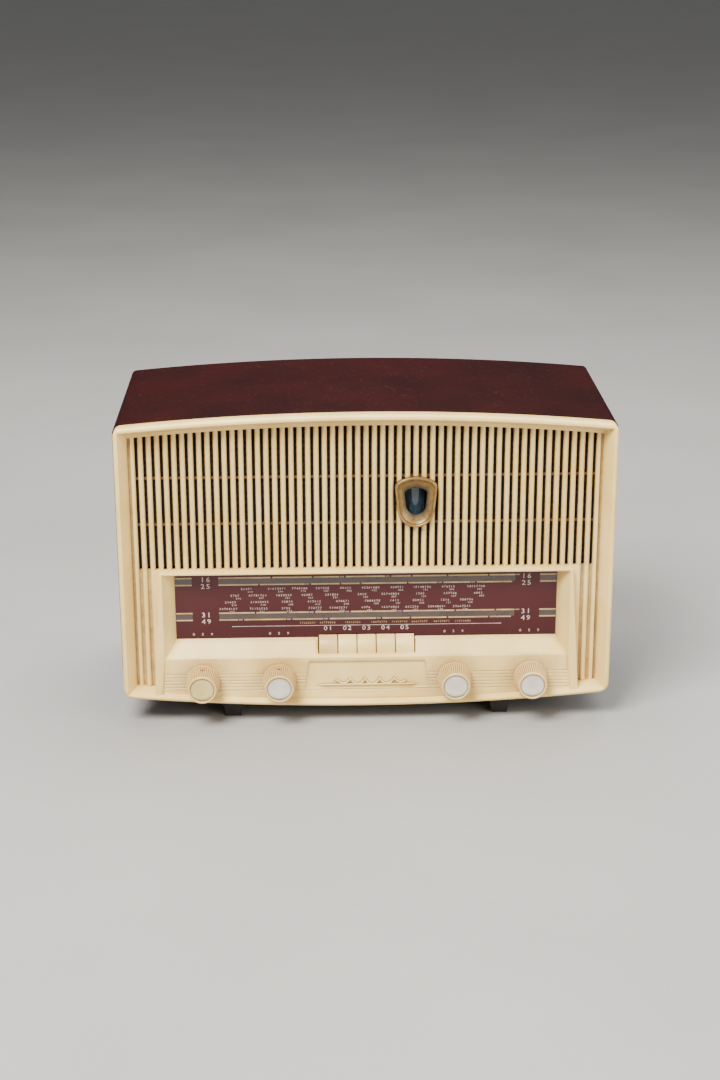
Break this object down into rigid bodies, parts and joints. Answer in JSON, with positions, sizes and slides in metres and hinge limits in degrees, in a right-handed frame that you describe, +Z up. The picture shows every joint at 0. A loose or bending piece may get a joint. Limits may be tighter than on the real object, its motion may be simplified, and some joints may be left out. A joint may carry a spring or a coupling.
{
  "type": "tabletop radio",
  "caption": "Tabletop valve radio with a slatted grille, lit dial, tuning eye, control knobs and piano keys.",
  "frame": {"origin": "centre of the overall box's footprint, on the surface the feet stand on", "axes": "+X to the right of someone facing the set, +Y from front to back, +Z up"},
  "size_m": [0.433, 0.2204, 0.2831],
  "materials": {
    "aluminium": "spun",
    "bakelite": "brown bakelite",
    "bezel_brass": "satin lacquered",
    "board": "pressed fibre",
    "bulb_glass": "clear",
    "burgundy_shell": "moulded, slightly worn gloss",
    "cord": "braided",
    "core_steel": "laminated, varnished",
    "dark_steel": "matt paint",
    "dial_glass": "printed from behind",
    "eye_glass": "clear, dark inside",
    "ferrite": "dull",
    "foot_plastic": "matt",
    "grille_cloth": "woven",
    "ivory": "moulded, aged satin",
    "pale_disc": "satin",
    "paper_cone": "felted",
    "plywood": "plain",
    "pointer_paint": "gloss paint",
    "reflector": "matt paint",
    "rubber_black": "matt",
    "screw_steel": "dull zinc",
    "winding": "waxed paper over copper",
    "zinc_steel": "zinc plated"
  },
  "bodies": {
    "radio": {"cabinet_shell": "burgundy_shell", "back_cover": "board", "cord_grommet": "rubber_black", "feet": "foot_plastic", "chassis_screws": "screw_steel", "front_frame": "ivory", "control_panel": "ivory", "badge_ornament": "ivory", "key_rod": "zinc_steel", "key_frame": "zinc_steel", "potentiometers": "aluminium", "dial_glass": "dial_glass", "dial_reflector": "reflector", "pointer_rail": "zinc_steel", "dial_lamps": "bulb_glass", "dial_cord": "cord", "tuner_frame": "zinc_steel", "tuner_stator": "aluminium", "chassis": "zinc_steel", "valve_sockets": "bakelite", "valves": "bulb_glass", "mains_core": "core_steel", "mains_winding": "winding", "output_transformer": "core_steel", "interstage_cans": "aluminium", "filter_capacitor": "aluminium", "rear_socket_plate": "bakelite", "grille_cloth": "grille_cloth", "speaker_baffle": "plywood", "speaker_basket": "dark_steel", "speaker_cone": "paper_cone", "speaker_magnet": "dark_steel", "wood_screws": "screw_steel", "eye_escutcheon": "bezel_brass", "eye_tube": "eye_glass", "aerial_post": "zinc_steel"},
    "tone_control": {"knob_tone": "ivory", "knob_disc_tone": "pale_disc", "shaft_tone": "zinc_steel"},
    "volume_control": {"knob_volume": "ivory", "knob_disc_volume": "pale_disc", "shaft_volume": "zinc_steel"},
    "antenna_control": {"knob_antenna": "ivory", "knob_disc_antenna": "pale_disc", "shaft_antenna": "zinc_steel"},
    "tuning_control": {"knob_tuning": "ivory", "knob_disc_tuning": "pale_disc", "shaft_tuning": "zinc_steel"},
    "key_1": {"key_1": "ivory"},
    "key_2": {"key_2": "ivory"},
    "key_3": {"key_3": "ivory"},
    "key_4": {"key_4": "ivory"},
    "key_5": {"key_5": "ivory"},
    "drum": {"drive_drum": "bakelite"},
    "rotor": {"tuner_rotor": "aluminium"},
    "pointer": {"dial_pointer": "pointer_paint"},
    "left_pulley": {"pulley_left": "bakelite"},
    "right_pulley": {"pulley_right": "bakelite"},
    "aerial": {"aerial_rod": "ferrite", "aerial_holder": "bakelite"}
  },
  "joints": [
    {"name": "tone_turn", "type": "hinge", "parent": "radio", "child": "tone_control", "pos_m": [-0.145, -0.08715, 0.04], "axis": [0, -1, 0], "range_deg": [-135, 135]},
    {"name": "volume_turn", "type": "hinge", "parent": "radio", "child": "volume_control", "pos_m": [-0.0775, -0.08715, 0.04], "axis": [0, -1, 0], "range_deg": [-180, 90]},
    {"name": "antenna_turn", "type": "hinge", "parent": "radio", "child": "antenna_control", "pos_m": [0.0775, -0.08715, 0.04], "axis": [0, -1, 0], "range_deg": [-90, 90]},
    {"name": "drum_turn", "type": "hinge", "parent": "radio", "child": "drum", "pos_m": [0.09, -0.04535, 0.097], "axis": [0, -1, 0], "range_deg": [-153.14, 382.32]},
    {"name": "tuning_turn", "type": "hinge", "parent": "radio", "child": "tuning_control", "pos_m": [0.145, -0.08715, 0.04], "axis": [0, -1, 0], "range_deg": [-2390.64, 958.25]},
    {"name": "rotor_turn", "type": "hinge", "parent": "radio", "child": "rotor", "pos_m": [0.09, -0.04535, 0.097], "axis": [0, -1, 0], "range_deg": [-52.19, 128.59]},
    {"name": "left_pulley_turn", "type": "hinge", "parent": "radio", "child": "left_pulley", "pos_m": [-0.167, -0.04535, 0.127], "axis": [0, -1, 0], "range_deg": [-2146.81, 860.58]},
    {"name": "right_pulley_turn", "type": "hinge", "parent": "radio", "child": "right_pulley", "pos_m": [0.167, -0.04535, 0.127], "axis": [0, -1, 0], "range_deg": [-2146.81, 860.58]},
    {"name": "pointer_slide", "type": "slide", "parent": "radio", "child": "pointer", "axis": [1, 0, 0], "range_m": [-0.0737, 0.1837]},
    {"name": "key_1_press", "type": "hinge", "parent": "radio", "child": "key_1", "pos_m": [-0.034, -0.04785, 0.06], "axis": [1, 0, 0], "range_deg": [0, 8], "stiffness_Nm_per_rad": 0.15, "springref_deg": -2.86},
    {"name": "key_2_press", "type": "hinge", "parent": "radio", "child": "key_2", "pos_m": [-0.017, -0.04785, 0.06], "axis": [1, 0, 0], "range_deg": [0, 8], "stiffness_Nm_per_rad": 0.15, "springref_deg": -2.86},
    {"name": "key_3_press", "type": "hinge", "parent": "radio", "child": "key_3", "pos_m": [0, -0.04785, 0.06], "axis": [1, 0, 0], "range_deg": [0, 8], "stiffness_Nm_per_rad": 0.15, "springref_deg": -2.86},
    {"name": "key_4_press", "type": "hinge", "parent": "radio", "child": "key_4", "pos_m": [0.017, -0.04785, 0.06], "axis": [1, 0, 0], "range_deg": [0, 8], "stiffness_Nm_per_rad": 0.15, "springref_deg": -2.86},
    {"name": "key_5_press", "type": "hinge", "parent": "radio", "child": "key_5", "pos_m": [0.034, -0.04785, 0.06], "axis": [1, 0, 0], "range_deg": [0, 8], "stiffness_Nm_per_rad": 0.15, "springref_deg": -2.86},
    {"name": "aerial_turn", "type": "hinge", "parent": "radio", "child": "aerial", "pos_m": [0.04, 0.02015, 0.261], "axis": [0, 0, 1], "range_deg": [-90, 90]}
  ],
  "couplings": [
    {"joint": "tuning_turn", "follows": "drum_turn", "ratio": -6.25},
    {"joint": "rotor_turn", "follows": "drum_turn", "ratio": 0.33333},
    {"joint": "left_pulley_turn", "follows": "drum_turn", "ratio": -5.6122},
    {"joint": "right_pulley_turn", "follows": "drum_turn", "ratio": -5.6122},
    {"joint": "pointer_slide", "follows": "drum_turn", "m_per_rad": 0.0275},
    {"joint": "antenna_turn", "follows": "aerial_turn", "ratio": 1}
  ]
}
